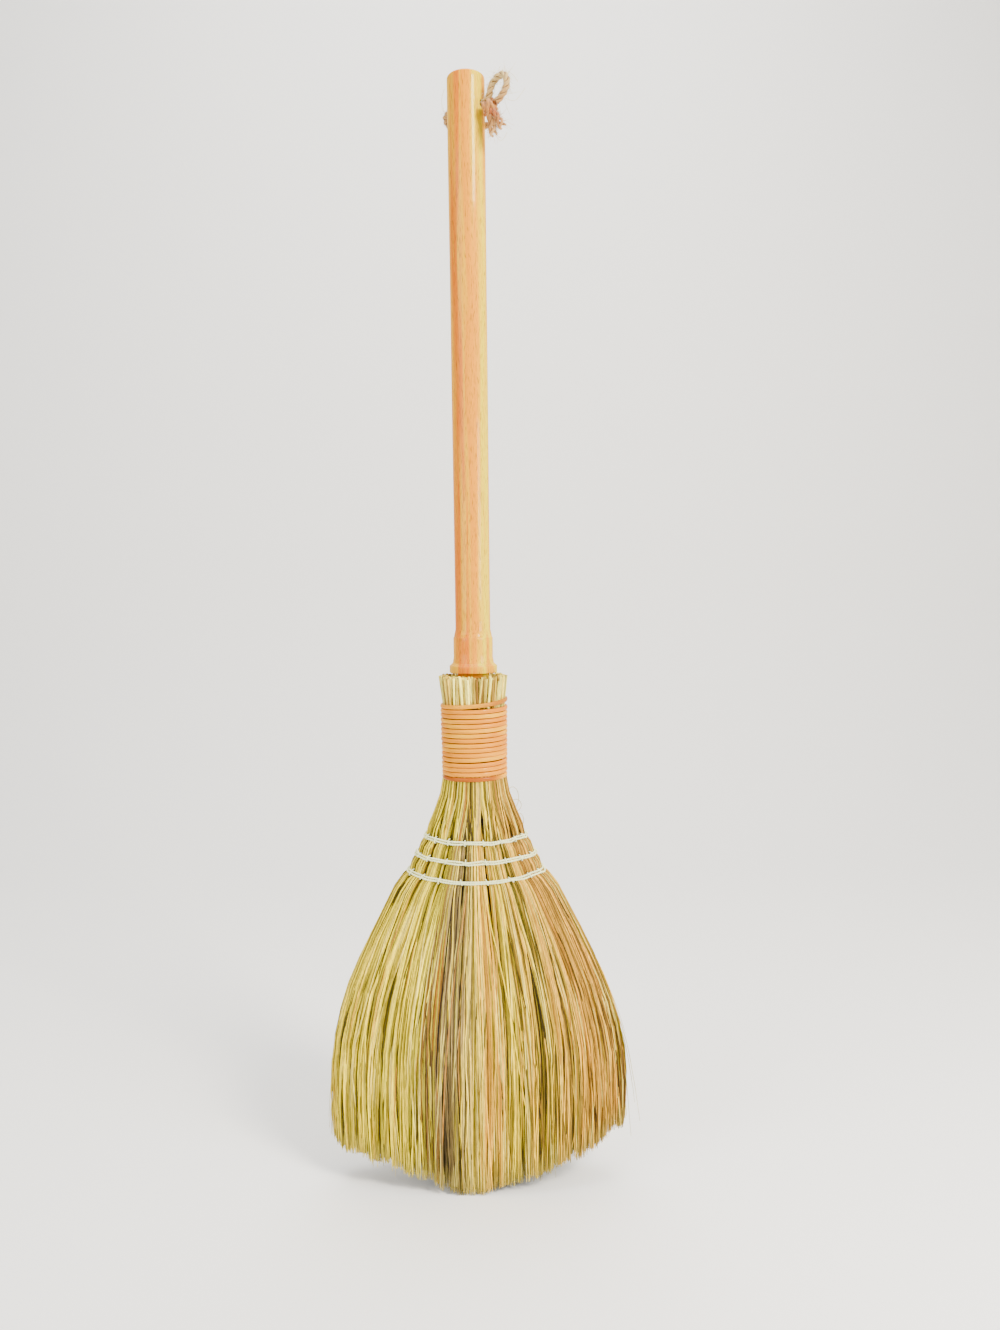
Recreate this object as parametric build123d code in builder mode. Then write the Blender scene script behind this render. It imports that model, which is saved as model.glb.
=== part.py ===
from build123d import *
from math import cos, hypot, pi, radians, sin, sqrt, tan
import os

os.makedirs("parts", exist_ok=True)

# A straw broom with a turned wooden handle. Its straw is laid round the handle's tenon in
# tufts, wound tight with one strip of cane, and stitched flat with three rows of twine.
# Z runs up the handle, X across the fan, the front faces -Y, and the origin lies on the
# floor under the middle of the fan. All lengths are in millimetres.

# Heights, stacked from the floor
sweep_length = 262.5  # floor to the lowest row of twine
low_row_step = 13.4  # lowest row to the middle row
high_row_step = 14.9  # middle row to the top row
throat_length = 46.3  # top row to the binding
butt_length = 16.4  # binding to the cut ends of the straw
collar_gap = 4.4  # cut ends to the collar
rim_height = 6.2
cove_height = 5.2
bead_height = 17.3
shoulder_height = 5.6
grip_length = 427.8  # collar to the end of the handle

# Fan of straw: half sizes at the rows and at its widest
fan_half_width = 127.0
fan_half_depth = 31.0
low_row_half_width = 52.5
top_row_half_width = 38.6
low_row_half_depth = 30.0
top_row_half_depth = 28.2
throat_half_width = 26.6
throat_half_depth = 25.2
throat_share = 0.3  # how far down the throat those two are measured
side_tip_rise = 39.5  # the fan is trimmed higher at its sides
trim_curve_share = 1.1
trim_flat_share = 0.09
trim_ragged = 3.4
floor_cut = 2.0  # the tips that carry the broom are cut flat

# Straw bundle
tuft_count = 18
tuft_gap = 0.3
tuft_bulge = 1.7  # of a tuft past the chord between its corners
bound_bulge = 0.1  # the same where the binding presses it flat
bundle_radius_low = 24.1
bundle_radius_high = 25.3
butt_radius = 27.7
heart_share = 0.12  # left open in the middle of the straw, below the tenon
lip_length = 9.0  # straw held together just below the lowest row

# Strands, as shares of the fan's half width (u) and half depth (v), so that none can cross
strand_pitch_u_share = 0.045
strand_pitch_v_share = 0.14
strand_half_u_share = 0.02
strand_half_v_share = 0.055
strand_margin_share = 0.008
strand_reach_share = 0.992
strand_heart_share = 0.14
# Bends of a strand: height as a share of the sweep, and the spread reached there
bend_shares = [(0.76, 0.53), (0.42, 0.94)]

# Cut ends of the straw above the binding
stub_width = 2.4
stub_ragged = 2.6
stub_foot = 3.0
stub_ring_step = 4.2
stub_ring_counts = [3, 1]

# Cane binding
binding_turns = 16
cane_width = 3.4
cane_outer_width = 2.5
cane_thickness = 1.8
cane_gap = 0.45

# Rows of twine
twine_width = 1.3
twine_gap = 0.5
twine_loops = 2
low_row_sag = 4.3
middle_row_sag = 1.8
top_row_sag = 1.5

# Handle
grip_radius_low = 14.0
grip_radius_waist = 13.7
grip_radius_high = 14.75
grip_waist_share = 0.25  # how far up the grip its waist lies
end_bevel = 1.8
bead_radius = 15.75
rim_radius = 19.2
rim_bevel = 1.1
cove_depth = 1.2
cove_slope_share = 0.55
tenon_radius = 12.0
tenon_tip_radius = 6.0
tenon_point = 6.0
tenon_length = 78.0

# Hanging loop of jute
cord_diameter = 5.0
cord_sides = 6
cord_hole_radius = 3.5
cord_hole_below_end = 23.4
cord_hole_turn = -30  # degrees from the X axis, seen from above
cord_corner_share = 0.38  # of the shorter run beside a corner that its arc takes
# The cord's route from the knot, behind the handle, through the hole and round the bight:
# along the hole, towards the back, and up, counted from the middle of the hole
cord_route = [
    (23.5, 1.5, -6.9),
    (23.5, 17.7, -8.2),
    (-20.4, 17.7, -7.6),
    (-20.4, 0, 0),
    (20.1, 0, 0),
    (24.3, -0.6, 13.2),
    (33.2, -1.8, 14.6),
    (35.2, -2.4, 4.4),
    (27.8, -3.6, -2.2),
]
knot_middle = (23.6, -4.4, -6.4)
knot_radius = 5.4
knot_length = 11.0
knot_wraps = 3
knot_sides = 8
knot_groove = 0.9
tail_width = 4.6
tail_middles = [(31.0, -5.2, -12.6), (26.8, -5.6, -16.6)]
tail_ends = [(34.0, -3.0, -20.6), (26.4, -4.0, -25.6)]

# Clearance between a piece and what carries it
seat_gap = 0.3

# Levels worked out from the heights
low_row_z = sweep_length
middle_row_z = low_row_z + low_row_step
top_row_z = middle_row_z + high_row_step
binding_z = top_row_z + throat_length
cane_pitch = cane_width + cane_gap
binding_top_z = binding_z + cane_pitch * binding_turns + cane_width
butt_z = binding_top_z + butt_length
rim_z = butt_z + collar_gap
cove_z = rim_z + rim_height
bead_z = cove_z + cove_height
shoulder_z = bead_z + bead_height
grip_z = shoulder_z + shoulder_height
end_z = grip_z + grip_length
waist_z = grip_z + grip_waist_share * grip_length
hole_z = end_z - cord_hole_below_end
tenon_tip_z = rim_z - tenon_length
tuft_angle = 2 * pi / tuft_count
golden_share = (sqrt(5) - 1) / 2


def between(low, high, share):
    """The value that lies at a share of the way from low to high."""
    return low + (high - low) * share


def bundle_radius(z):
    """Radius of the straw under the binding at a height."""
    share = (z - binding_z) / (binding_top_z - binding_z)
    return between(bundle_radius_low, bundle_radius_high, share)


def heart_at(z):
    """How far out the tufts start at a height beside the tenon, as a share of the bundle."""
    return (tenon_radius + seat_gap) / cos(tuft_angle / 2) / bundle_radius(z)


def uneven(number):
    """A share from 0 to 1 that looks irregular from one number to the next."""
    return (number * golden_share) % 1


def flat_sided(sections):
    """A solid with one flat side from each edge of a section to that edge of the next."""
    sides = [Face(Wire.make_polygon(section)) for section in (sections[0], sections[-1])]
    for section, following in zip(sections, sections[1:]):
        for corner in range(len(section)):
            edge = [section[corner - 1], section[corner], following[corner], following[corner - 1]]
            sides.append(Face(Wire.make_polygon(edge)))
    return Solid(Shell(sides))


def wound(points, section):
    """A solid wound round the straw, straight from each point to the next, its section upright."""
    with BuildPart() as winding:
        for before, point, after in zip(points[:1] + points, points, points[1:] + points[-1:]):
            way = Vector(after.X - before.X, after.Y - before.Y)
            outward = way.cross(Vector(0, 0, 1))
            with BuildSketch(Plane(origin=point, x_dir=outward, z_dir=way)):
                with BuildLine():
                    Polyline(*section, close=True)
                make_face()
        loft(ruled=True)
    return winding.part


def least_gap(points, per_turn, width, name):
    """Print the least gap that a winding leaves between a corner and the corner one turn on."""
    gaps = [(after - before).length - width for before, after in zip(points, points[per_turn:])]
    print(f"{name}: least gap to itself {min(gaps):.2f} mm")


# Handle: tenon, rim, cove, bead and grip, turned from one piece
with BuildPart() as handle:
    with BuildSketch(Plane.XZ):
        with BuildLine():
            Line((0, tenon_tip_z), (tenon_tip_radius, tenon_tip_z))
            Line((tenon_tip_radius, tenon_tip_z), (tenon_radius, tenon_tip_z + tenon_point))
            Line((tenon_radius, tenon_tip_z + tenon_point), (tenon_radius, rim_z))
            Line((tenon_radius, rim_z), (rim_radius, rim_z))
            Line((rim_radius, rim_z), (rim_radius, cove_z))
            Polyline(
                (rim_radius, cove_z),
                (between(bead_radius, rim_radius, cove_slope_share), cove_z + cove_depth),
                (bead_radius, between(cove_z, bead_z, cove_slope_share)),
                (bead_radius, bead_z),
            )
            Line((bead_radius, bead_z), (bead_radius, shoulder_z))
            Line((bead_radius, shoulder_z), (grip_radius_low, grip_z))
            Line((grip_radius_low, grip_z), (grip_radius_waist, waist_z))
            Line((grip_radius_waist, waist_z), (grip_radius_high, end_z))
            Line((grip_radius_high, end_z), (0, end_z))
            Line((0, end_z), (0, tenon_tip_z))
        make_face()
    revolve(axis=Axis.Z)
    chamfer(handle.edges().group_by(Axis.Z)[-1], end_bevel)
    rim_edges = handle.edges().filter_by(GeomType.CIRCLE).filter_by_position(Axis.Z, rim_z, cove_z)
    chamfer(rim_edges.filter_by(lambda edge: edge.radius > bead_radius), rim_bevel)
    hole_axis = Vector(cos(radians(cord_hole_turn)), sin(radians(cord_hole_turn)), 0)
    with Locations(Plane(origin=(0, 0, hole_z), z_dir=hole_axis)):
        Hole(cord_hole_radius)
handle.part.label = "handle"
export_step(handle.part, "parts/handle.step")

# Levels of a tuft from the top down: height, half width, half depth, heart and bulge
bend_spreads = [(low_row_z, 0)]
bend_spreads += [(share * sweep_length, spread) for share, spread in bend_shares]
first_bend_z, first_spread = bend_spreads[1]
lip_z = low_row_z - lip_length
lip_spread = first_spread * lip_length / (low_row_z - first_bend_z)
foot_z = binding_top_z + stub_foot
foot_radius = between(bundle_radius_high, butt_radius, stub_foot / butt_length)
tip_radius = bundle_radius(tenon_tip_z)
throat_z = binding_z - throat_share * throat_length
tuft_levels = [
    (foot_z, foot_radius, foot_radius, heart_at(foot_z), bound_bulge),
    (binding_top_z, bundle_radius_high, bundle_radius_high, heart_at(binding_top_z), bound_bulge),
    (tenon_tip_z, tip_radius, tip_radius, heart_at(tenon_tip_z), bound_bulge),
    (binding_z, bundle_radius_low, bundle_radius_low, heart_share, bound_bulge),
    (throat_z, throat_half_width, throat_half_depth, heart_share, tuft_bulge / 2),
    (top_row_z, top_row_half_width, top_row_half_depth, heart_share, tuft_bulge),
    (low_row_z, low_row_half_width, low_row_half_depth, heart_share, tuft_bulge),
    (
        lip_z,
        between(low_row_half_width, fan_half_width, lip_spread),
        between(low_row_half_depth, fan_half_depth, lip_spread),
        heart_share,
        tuft_bulge,
    ),
]


def fan_sizes(z):
    """Half width and half depth of the stitched straw at a height."""
    for (high_z, *high), (low_z, *low) in zip(tuft_levels, tuft_levels[1:]):
        if z >= low_z:
            break
    share = (z - low_z) / (high_z - low_z)
    return between(low[0], high[0], share), between(low[1], high[1], share)


def tuft_corners(start, half_width, half_depth, heart, bulge):
    """Corners of a tuft's outline that starts at an angle, and the crest of its outer side."""
    corners = []
    for angle, side in ((start, 1), (start + tuft_angle, -1)):
        ray = Vector(half_width * cos(angle), half_depth * sin(angle))
        inset = ray.normalized().rotate(Axis.Z, 90) * (side * tuft_gap / 2)
        corners += [ray * heart + inset, ray + inset]
    crest = (corners[1] + corners[3]) / 2
    return corners, crest + crest.normalized() * bulge


def in_tuft(start, corners):
    """True where a strand's corners all lie inside the tuft that starts at an angle."""
    end = start + tuft_angle
    for u, v in corners:
        past_start = cos(start) * v - sin(start) * u
        short_of_end = sin(end) * u - cos(end) * v
        if min(past_start, short_of_end) < strand_margin_share:
            return False
        if not strand_heart_share < hypot(u, v) < strand_reach_share:
            return False
    return True


def strand_places(start):
    """Middles of a tuft's strands on a staggered grid, as shares of the fan's half sizes."""
    rows, columns = round(1 / strand_pitch_v_share), round(1 / strand_pitch_u_share)
    places = []
    for row in range(-rows, rows):
        v = (row + 1 / 2) * strand_pitch_v_share
        for column in range(-columns, columns + 1):
            u = (column + row % 2 / 2) * strand_pitch_u_share
            sides_u = (u - strand_half_u_share, u + strand_half_u_share)
            sides_v = (v - strand_half_v_share, v + strand_half_v_share)
            if in_tuft(start, [(side_u, side_v) for side_u in sides_u for side_v in sides_v]):
                places.append((u, v))
    return places


def strand(u, v, number):
    """One four-sided strand of the fan, from the lowest row of twine down to its tip."""
    side = max(0, abs(u) - trim_flat_share) / (1 - trim_flat_share)
    tip_z = side_tip_rise * side**trim_curve_share + trim_ragged * uneven(number) - floor_cut
    sections = []
    for z, spread in bend_spreads + [(max(0, tip_z), 1)]:
        width = between(low_row_half_width, fan_half_width, spread)
        depth = between(low_row_half_depth, fan_half_depth, spread)
        left, right = (u - strand_half_u_share) * width, (u + strand_half_u_share) * width
        front, back = (v - strand_half_v_share) * depth, (v + strand_half_v_share) * depth
        corners = [(left, front), (right, front), (right, back), (left, back)]
        sections.append([Vector(*corner, z) for corner in corners])
    return flat_sided(sections)


def stub(angle, ring, number):
    """One cut end of straw above the binding, leaning out a little."""
    top_z = butt_z + stub_ragged * (uneven(number) - 1 / 2)
    inner = ring * stub_ring_step + stub_width / 2 + seat_gap
    with BuildPart() as straw:
        for z, radius in ((binding_top_z, bundle_radius_high), (top_z, butt_radius)):
            middle = Vector(radius - inner, 0).rotate(Axis.Z, angle * 180 / pi)
            with BuildSketch(Plane(origin=(middle.X, middle.Y, z), x_dir=middle, z_dir=(0, 0, 1))):
                Rectangle(stub_width, stub_width)
        loft(ruled=True)
    return straw.part


# Tufts of straw, each one solid: the part held by the binding and rows, and its loose strands
strand_count = 0
for tuft_number in range(tuft_count):
    start_angle = tuft_number * tuft_angle
    straws = []
    for u_share, v_share in strand_places(start_angle):
        straws.append(strand(u_share, v_share, strand_count))
        strand_count += 1
    for ring_number, ring_count in enumerate(stub_ring_counts):
        for place_number in range(ring_count):
            stub_angle = start_angle + tuft_angle * (place_number + 1 / 2) / ring_count
            straws.append(stub(stub_angle, ring_number, strand_count))
            strand_count += 1
    with BuildPart() as tuft:
        for level_z, level_width, level_depth, level_heart, level_bulge in tuft_levels:
            outline, crest_point = tuft_corners(
                start_angle, level_width, level_depth, level_heart, level_bulge
            )
            with BuildSketch(Plane.XY.offset(level_z)):
                with BuildLine():
                    Polyline(outline[0], outline[1], crest_point, outline[3], outline[2], close=True)
                make_face()
        loft(ruled=True)
        add(straws)
    tuft.part.label = f"tuft_{tuft_number + 1:02d}"
    export_step(tuft.part, f"parts/tuft_{tuft_number + 1:02d}.step")
print(f"strands: {strand_count}")

# Windings start at the edge of a tuft just past the middle of the back, and their corners lie
# on the edges of the tufts, and the twine's on the crests as well
back_angle = (tuft_count // 4 + 1) * tuft_angle

# Cane binding: one flat strip wound round the bundle from the throat up
cane_points = []
for step in range(binding_turns * tuft_count + 1):
    turned = back_angle + step * tuft_angle
    strip_z = binding_z + cane_width / 2 + cane_pitch * step / tuft_count
    strip_radius = bundle_radius(strip_z) + (seat_gap + cane_thickness / 2) / cos(tuft_angle / 2)
    cane_points.append(Vector(strip_radius * cos(turned), strip_radius * sin(turned), strip_z))
cane_section = [
    (-cane_thickness / 2, -cane_width / 2),
    (cane_thickness / 2, -cane_outer_width / 2),
    (cane_thickness / 2, cane_outer_width / 2),
    (-cane_thickness / 2, cane_width / 2),
]
cane_binding = wound(cane_points, cane_section)
cane_binding.label = "cane_binding"
export_step(cane_binding, "parts/cane_binding.step")
least_gap(cane_points, tuft_count, cane_width, "cane binding")

# Rows of twine: each goes twice round the fan, a little lower in the middle than at the sides
twine_stand_off = seat_gap + twine_width / 2
twine_pitch = twine_width + twine_gap
half_twine = twine_width / 2
twine_section = [
    (-half_twine, -half_twine),
    (half_twine, -half_twine),
    (half_twine, half_twine),
    (-half_twine, half_twine),
]
twine_rows = [
    ("low_twine_row", low_row_z, low_row_sag),
    ("middle_twine_row", middle_row_z, middle_row_sag),
    ("top_twine_row", top_row_z, top_row_sag),
]
for row_name, row_z, row_sag in twine_rows:
    under_points = []
    for step in range(-1, twine_loops * tuft_count * 2 + 2):
        turned = back_angle + step * tuft_angle / 2
        rise = twine_pitch * (step / tuft_count - twine_loops) / 2
        strip_z = row_z + rise - row_sag * sin(turned) ** 2
        edge_angle = turned - step % 2 * tuft_angle / 2
        under_sizes = fan_sizes(strip_z - half_twine)
        outline, crest_point = tuft_corners(edge_angle, *under_sizes, heart_share, tuft_bulge)
        under = crest_point if step % 2 else outline[1]
        under_points.append(Vector(under.X, under.Y, strip_z))
    twine_points = []
    for before, under, after in zip(under_points, under_points[1:], under_points[2:]):
        outward = Vector(after.X - before.X, after.Y - before.Y).cross(Vector(0, 0, 1))
        twine_points.append(under + outward.normalized() * twine_stand_off)
    twine_row = wound(twine_points, twine_section)
    twine_row.label = row_name
    export_step(twine_row, f"parts/{row_name}.step")
    least_gap(twine_points, 2 * tuft_count, twine_width, row_name)

# Hanging loop: one length of jute cord through the hole, tied in a knot at the right
loop_plane = Plane(origin=(0, 0, hole_z), x_dir=hole_axis, z_dir=(0, 0, 1))


def rounded(route):
    """A route's points in the part's frame, with three points of an arc at each corner."""
    places = [loop_plane.from_local_coords(Vector(*place)) for place in route]
    points = places[:1]
    for before, corner, after in zip(places, places[1:], places[2:]):
        back, onward = before - corner, after - corner
        reach = cord_corner_share * min(back.length, onward.length)
        back, onward = back.normalized(), onward.normalized()
        half_corner = radians(back.get_angle(onward)) / 2
        depth = reach / cos(half_corner) - reach * tan(half_corner)
        points += [corner + back * reach, corner + (back + onward).normalized() * depth]
        points.append(corner + onward * reach)
    return points + places[-1:]


def cord(points, width):
    """A cord of an even section that runs straight from each point to the next."""
    with BuildPart() as run:
        with BuildLine():
            Polyline(*points)
        with BuildSketch(Plane(origin=points[0], z_dir=points[1] - points[0])):
            RegularPolygon(width / 2, cord_sides)
        sweep(transition=Transition.RIGHT)
    return run.part


cord_points = rounded(cord_route)
hang_cord = cord(cord_points, cord_diameter)
hang_cord.label = "hang_cord"
export_step(hang_cord, "parts/hang_cord.step")
cord_length = sum((after - before).length for before, after in zip(cord_points, cord_points[1:]))
cord_section = cord_sides / 2 * sin(2 * pi / cord_sides) * (cord_diameter / 2) ** 2
print(f"hang cord: length {cord_length:.1f} mm,", end=" ")
print(f"volume over section times length {hang_cord.volume / cord_section / cord_length:.3f}")

# Knot of the hanging loop, with the two short tails of the cord
knot_point = loop_plane.from_local_coords(Vector(*knot_middle))
knot_way = knot_point - loop_plane.from_local_coords(Vector(*cord_route[-1]))
knot_base = Plane(origin=knot_point, z_dir=knot_way)
knot_levels = [knot_length * (level / (2 * knot_wraps) - 1 / 2) for level in range(2 * knot_wraps + 1)]
tail_routes = [(knot_middle, middle, end) for middle, end in zip(tail_middles, tail_ends)]
tails = [cord(rounded(tail_route), tail_width) for tail_route in tail_routes]
knot_sections = []
for level_number, level in enumerate(knot_levels):
    level_radius = knot_radius - knot_groove * (1 - level_number % 2)
    ray = Vector(level_radius, 0)
    corners = [ray.rotate(Axis.Z, 360 * corner / knot_sides) for corner in range(knot_sides)]
    knot_sections.append([knot_base.offset(level).from_local_coords(corner) for corner in corners])
with BuildPart() as cord_knot:
    add([flat_sided(knot_sections)] + tails)
cord_knot.part.label = "cord_knot"
export_step(cord_knot.part, "parts/cord_knot.step")
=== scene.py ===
"""Looks of a straw broom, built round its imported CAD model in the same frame."""

import logging
import math
from dataclasses import dataclass, field
from enum import Enum

import bmesh
import bpy
import numpy as np
from mathutils import Matrix, Vector


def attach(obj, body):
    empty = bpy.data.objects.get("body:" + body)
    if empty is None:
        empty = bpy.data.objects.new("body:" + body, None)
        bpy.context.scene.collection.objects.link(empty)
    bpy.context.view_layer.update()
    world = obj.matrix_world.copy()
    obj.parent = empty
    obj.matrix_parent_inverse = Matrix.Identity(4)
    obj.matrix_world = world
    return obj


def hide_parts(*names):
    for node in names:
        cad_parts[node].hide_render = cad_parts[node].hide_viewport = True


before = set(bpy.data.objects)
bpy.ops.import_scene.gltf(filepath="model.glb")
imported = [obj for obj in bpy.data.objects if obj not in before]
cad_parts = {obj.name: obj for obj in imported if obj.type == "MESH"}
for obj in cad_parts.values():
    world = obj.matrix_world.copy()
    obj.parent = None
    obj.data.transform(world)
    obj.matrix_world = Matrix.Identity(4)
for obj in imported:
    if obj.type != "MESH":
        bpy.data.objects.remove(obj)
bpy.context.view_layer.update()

log = logging.getLogger("straw_broom")

# Lengths are in millimetres up to where a mesh or curve is made, which turns them to metres by MM
MM = 0.001
TURN = 2 * math.pi

# Heights shared with the CAD, in millimetres from the floor
BINDING_Z = 337.1
BINDING_TOP_Z = 402.1
RIM_Z = 422.9
END_Z = 885.0
HOLE_Z = 861.6
HOLE_TURN = math.radians(-30)  # the hole's way round from the X axis

NOISE_RANGE = {"From Min": 0.3, "From Max": 0.7}  # where nearly all values of a noise lie

# Types that the code below names often
Chance = np.random.Generator
Material = bpy.types.Material
Socket = bpy.types.NodeSocket
Tree = bpy.types.NodeTree
Pairs = tuple[tuple[float, float], ...]
Stops = tuple[tuple[float, str], ...]
Places = tuple[tuple[float, float, float], ...]
Reals = float | np.ndarray


class Body(Enum):
    """The CAD bodies that pieces ride on."""

    BROOM = "broom"
    LOOP = "hang_loop"


class Slot(Enum):
    """Names of the record's material slots; no piece here is given one."""

    WOOD = "handle_wood"
    STRAW = "straw"
    CANE = "cane"
    TWINE = "twine"
    JUTE = "jute"


def linear(hex_colour: str) -> tuple[float, float, float, float]:
    """Turn an sRGB hex colour to linear light.

    Args:
        hex_colour: Six hex digits.

    Returns:
        Red, green, blue and an alpha of one.
    """
    parts = [int(hex_colour[i : i + 2], 16) / 255 for i in (0, 2, 4)]
    return (*[p / 12.92 if p <= 0.04045 else ((p + 0.055) / 1.055) ** 2.4 for p in parts], 1.0)


def rgb(hex_colour: str) -> np.ndarray:
    """A hex colour in linear light, without its alpha."""
    return np.array(linear(hex_colour)[:3])


def feed(node: bpy.types.Node, values: dict) -> None:
    """Set a node's inputs, by name or number, to values or to the sockets that feed them."""
    for name, value in values.items():
        if isinstance(value, Socket):
            node.id_data.links.new(value, node.inputs[name])
        else:
            node.inputs[name].default_value = value


def add_node(
    tree: Tree,
    kind: str,
    values: dict | None = None,
    stops: Stops = (),
    out: int | str = 0,
    **settings: object,
) -> Socket:
    """Add a node with its settings, values and links.

    Args:
        tree: The material's node tree.
        kind: The node's type.
        values: Input name or number to a value, or to the socket that feeds it.
        stops: Places and hex colours of a colour ramp.
        out: The output that is wanted.
        settings: Properties of the node.

    Returns:
        The socket of that output.
    """
    node = tree.nodes.new(kind)
    for name, value in settings.items():
        setattr(node, name, value)
    feed(node, values or {})
    if stops:
        ramp = node.color_ramp.elements
        while len(ramp) < len(stops):
            ramp.new(0.5)
        for element, (place, colour) in zip(ramp, stops):
            element.position, element.color = place, linear(colour)
    return node.outputs[out]


def new_material(name: str) -> tuple[Material, Tree, bpy.types.Node]:
    """Start a material.

    Args:
        name: The material's name.

    Returns:
        The material, its tree and its surface shader.
    """
    material = bpy.data.materials.new(name)
    material.use_nodes = True
    return material, material.node_tree, material.node_tree.nodes["Principled BSDF"]


def fibre_noise(
    tree: Tree,
    place: Socket,
    width_mm: float,
    lengths: tuple[float, float, float],
    detail: float = 3.0,
    distortion: float = 0.0,
) -> Socket:
    """Draw noise out to fibres.

    Args:
        tree: The material's node tree.
        place: Coordinates in metres.
        width_mm: A fibre's width.
        lengths: How many widths long a fibre is along each axis.
        detail: Layers of finer noise.
        distortion: How far the fibres waver.

    Returns:
        The noise, from 0 to 1.
    """
    across = 1 / (width_mm * MM)
    scale = [across / length for length in lengths]
    drawn = add_node(tree, "ShaderNodeMapping", {"Vector": place, "Scale": scale})
    noise = {"Vector": drawn, "Scale": 1.0, "Detail": detail, "Distortion": distortion}
    return add_node(tree, "ShaderNodeTexNoise", noise)


def shade_tint(tree: Tree, tint: Socket, noise: Socket, dark: float, light: float) -> Socket:
    """Darken and lighten a tint by a noise.

    Args:
        tree: The material's node tree.
        tint: The tint.
        noise: The noise.
        dark: What the tint is multiplied by where the noise is low.
        light: The same where it is high.

    Returns:
        The colour.
    """
    spread = {"Value": noise, **NOISE_RANGE, "To Min": dark, "To Max": light}
    shade = add_node(tree, "ShaderNodeMapRange", spread)
    return add_node(tree, "ShaderNodeVectorMath", {0: tint, "Scale": shade}, operation="SCALE")


@dataclass(frozen=True)
class LacqueredHardwood:
    """Turned hardwood under clear lacquer: broad honey and orange streaks, a painted highlight down its right
    side, short dark pores, a wet gloss.
    """

    # Broad figure of the board across the handle, from its left side (0) to its right side (1), with a
    # painted highlight in the pale yellow from 0.7 to 0.92, where the key light falls on the right side
    figure_and_highlight: Stops = (
        (0.0, "DDAF17"), (0.1, "DA9804"), (0.24, "D07500"), (0.34, "DDAB0A"), (0.44, "D89100"),
        (0.6, "DD9802"), (0.7, "DDAF04"), (0.82, "DDCD09"), (0.92, "DDBE11"), (1.0, "D69D07"),
    )
    honey: str = "D69B05"
    pore: str = "774302"
    board_mm: float = 30.0
    streak_mm: float = 7.0
    grain_mm: float = 0.9
    pore_mm: float = 0.45  # real pores are half as wide, drawn coarser so that they show
    drift: float = 0.15  # how far the streaks push the figure aside, in widths of the board

    def build(self) -> Material:
        """Make the material."""
        material, tree, shader = new_material("lacquered_turned_hardwood")
        place = add_node(tree, "ShaderNodeTexCoord", out="Object")
        streaks = fibre_noise(tree, place, self.streak_mm, (1, 1, 28), 2.0, 0.4)
        grain = fibre_noise(tree, place, self.grain_mm, (1, 1, 40))
        pores = fibre_noise(tree, place, self.pore_mm, (1, 1, 14), 1.0)
        half_board = self.board_mm * MM / 2
        across = add_node(tree, "ShaderNodeSeparateXYZ", {0: place})
        board = add_node(
            tree, "ShaderNodeMapRange", {"Value": across, "From Min": -half_board, "From Max": half_board}
        )
        drift = add_node(
            tree, "ShaderNodeMapRange",
            {"Value": streaks, **NOISE_RANGE, "To Min": -self.drift, "To Max": self.drift},
        )
        at = add_node(tree, "ShaderNodeMath", {0: board, 1: drift}, operation="ADD")
        # The ramp across the handle paints the wood's figure and a highlight on its right side
        broad = add_node(tree, "ShaderNodeValToRGB", {0: at}, self.figure_and_highlight)
        fine = add_node(
            tree, "ShaderNodeMix", {"Factor": grain, 6: broad, 7: linear(self.honey)}, out=2,
            data_type="RGBA", blend_type="SOFT_LIGHT",
        )
        in_pore = add_node(
            tree, "ShaderNodeMapRange", {"Value": pores, "From Min": 0.56, "From Max": 0.70, "To Max": 0.7}
        )
        colour = add_node(
            tree, "ShaderNodeMix", {"Factor": in_pore, 6: fine, 7: linear(self.pore)}, out=2,
            data_type="RGBA",
        )
        bump = add_node(tree, "ShaderNodeBump", {"Height": grain, "Strength": 0.12, "Distance": 0.1 * MM})
        feed(shader, {
            "Base Color": colour, "Normal": bump, "Roughness": 0.55, "IOR": 1.2,
            "Specular IOR Level": 0.25, "Coat Weight": 0.18, "Coat Roughness": 0.06,
        })
        return material


@dataclass(frozen=True)
class DryStraw:
    """Dried grass stalks, sun-bleached: each has its own tint, faint flecks along it and a dull skin."""

    fleck_mm: float = 0.5

    def build(self) -> Material:
        """Make the material."""
        material, tree, shader = new_material("dry_grass_straw")
        tint = add_node(tree, "ShaderNodeAttribute", attribute_name="tint")
        place = add_node(tree, "ShaderNodeTexCoord", out="Object")
        flecks = fibre_noise(tree, place, self.fleck_mm, (1, 1, 16))
        colour = shade_tint(tree, tint, flecks, 0.55, 1.3)
        feed(shader, {"Base Color": colour, "Roughness": 0.58, "IOR": 1.2})
        return material


@dataclass(frozen=True)
class SplitCane:
    """Split cane wound wet and dried: amber skin with fine fibres along it, glossy on its crown."""

    fibre_mm: float = 0.35

    def build(self) -> Material:
        """Make the material."""
        material, tree, shader = new_material("glossy_split_cane")
        tint = add_node(tree, "ShaderNodeAttribute", attribute_name="tint")
        strip = add_node(tree, "ShaderNodeAttribute", out="Vector", attribute_name="strip")
        fibres = fibre_noise(tree, strip, self.fibre_mm, (60, 1, 1))
        colour = shade_tint(tree, tint, fibres, 0.8, 1.15)
        bump = add_node(tree, "ShaderNodeBump", {"Height": fibres, "Strength": 0.15, "Distance": 0.08 * MM})
        feed(shader, {
            "Base Color": colour, "Normal": bump, "Roughness": 0.5, "IOR": 1.2,
            "Specular IOR Level": 0.25, "Coat Weight": 0.14, "Coat Roughness": 0.1,
        })
        return material


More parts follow.
